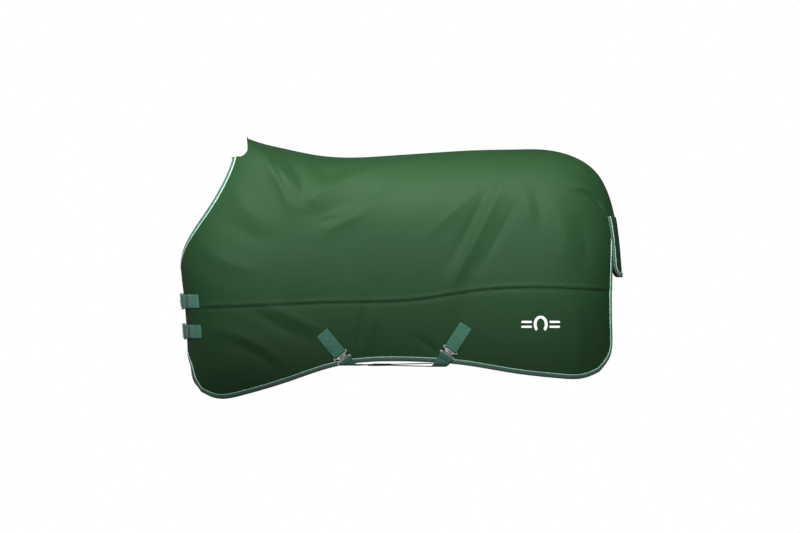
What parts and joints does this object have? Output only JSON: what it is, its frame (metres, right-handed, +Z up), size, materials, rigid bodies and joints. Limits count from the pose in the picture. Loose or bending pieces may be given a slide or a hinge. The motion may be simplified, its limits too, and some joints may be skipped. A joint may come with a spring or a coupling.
{
  "type": "turnout rug",
  "caption": "Waterproof turnout rug shaped to a standing horse, with buckled chest straps, crossed clip-on belly straps, fleece wither pad and tail flap.",
  "frame": {"origin": "on the centre line at the dip of the back, on the outer cloth, where the horse's back carries the rug", "axes": "+X from the chest towards the tail, -Y the near (left) side, +Z up"},
  "size_m": [1.6417, 0.6121, 0.9736],
  "materials": {
    "shell_cloth": "coated woven nylon, soft sheen",
    "fill": "polyester batting",
    "lining": "smooth nylon lining",
    "edge_tape": "woven edge tape",
    "piping": "woven piping cord",
    "fleece": "short pile fleece",
    "mark_print": "flexible transfer print",
    "webbing": "ribbed webbing",
    "strap_webbing": "ribbed webbing, dark",
    "nickel": "nickel plated steel, lightly worn",
    "slider_plastic": "moulded black nylon"
  },
  "bodies": {
    "shell": {"outer_back": "shell_cloth", "outer_lower_near": "shell_cloth", "outer_lower_off": "shell_cloth", "fill_back": "fill", "fill_lower_near": "fill", "fill_lower_off": "fill", "lining_back": "lining", "lining_lower_near": "lining", "lining_lower_off": "lining", "neck_tape": "edge_tape", "near_tape": "edge_tape", "off_tape": "edge_tape", "neck_piping": "piping", "near_piping": "piping", "off_piping": "piping", "wither_fleece": "fleece", "quarter_mark": "mark_print", "chest_strap_upper": "webbing", "chest_strap_lower": "webbing", "buckle_upper": "nickel", "buckle_lower": "nickel", "billet_upper": "strap_webbing", "billet_lower": "strap_webbing", "keeper_upper": "webbing", "keeper_lower": "webbing", "surcingle_tab_front": "webbing", "surcingle_tab_rear": "webbing", "clip_front": "nickel", "clip_rear": "nickel", "surcingle_anchor_front": "strap_webbing", "surcingle_anchor_rear": "strap_webbing"},
    "tail_flap": {"tail_flap": "shell_cloth", "tail_flap_lining": "lining", "tail_flap_tape": "edge_tape"},
    "tongue_upper": {"tongue_upper": "nickel"},
    "tongue_lower": {"tongue_lower": "nickel"},
    "belly_strap_front": {"belly_strap_front": "strap_webbing", "hook_front": "nickel"},
    "belly_strap_rear": {"belly_strap_rear": "strap_webbing", "hook_rear": "nickel"},
    "slider_front": {"slider_front": "slider_plastic"},
    "slider_rear": {"slider_rear": "slider_plastic"}
  },
  "joints": [
    {"name": "tail_flap_lift", "type": "hinge", "parent": "shell", "child": "tail_flap", "pos_m": [0.806, 0, -0.232], "axis": [0, -1, 0], "range_deg": [0, 100]},
    {"name": "tongue_upper_lift", "type": "hinge", "parent": "shell", "child": "tongue_upper", "pos_m": [-0.80893, -0.017, -0.54538], "axis": [-0.0698, 0, 0.9976], "range_deg": [0, 65]},
    {"name": "tongue_lower_lift", "type": "hinge", "parent": "shell", "child": "tongue_lower", "pos_m": [-0.8001, -0.017, -0.65738], "axis": [-0.0698, 0, 0.9976], "range_deg": [0, 65]},
    {"name": "belly_strap_rear_drop", "type": "hinge", "parent": "shell", "child": "belly_strap_rear", "pos_m": [0, 0.301, -0.78], "axis": [1, 0, 0], "range_deg": [0, 80]},
    {"name": "belly_strap_front_drop", "type": "hinge", "parent": "shell", "child": "belly_strap_front", "pos_m": [0, 0.301, -0.78], "axis": [1, 0, 0], "range_deg": [0, 80]},
    {"name": "slider_front_slide", "type": "slide", "parent": "belly_strap_front", "child": "slider_front", "axis": [0.4886, 0.8725, 0], "range_m": [-0.1, 0]},
    {"name": "slider_rear_slide", "type": "slide", "parent": "belly_strap_rear", "child": "slider_rear", "axis": [-0.4815, 0.8765, 0], "range_m": [0, 0.1]}
  ],
  "couplings": [
    {"joint": "belly_strap_front_drop", "follows": "belly_strap_rear_drop", "ratio": 1}
  ]
}
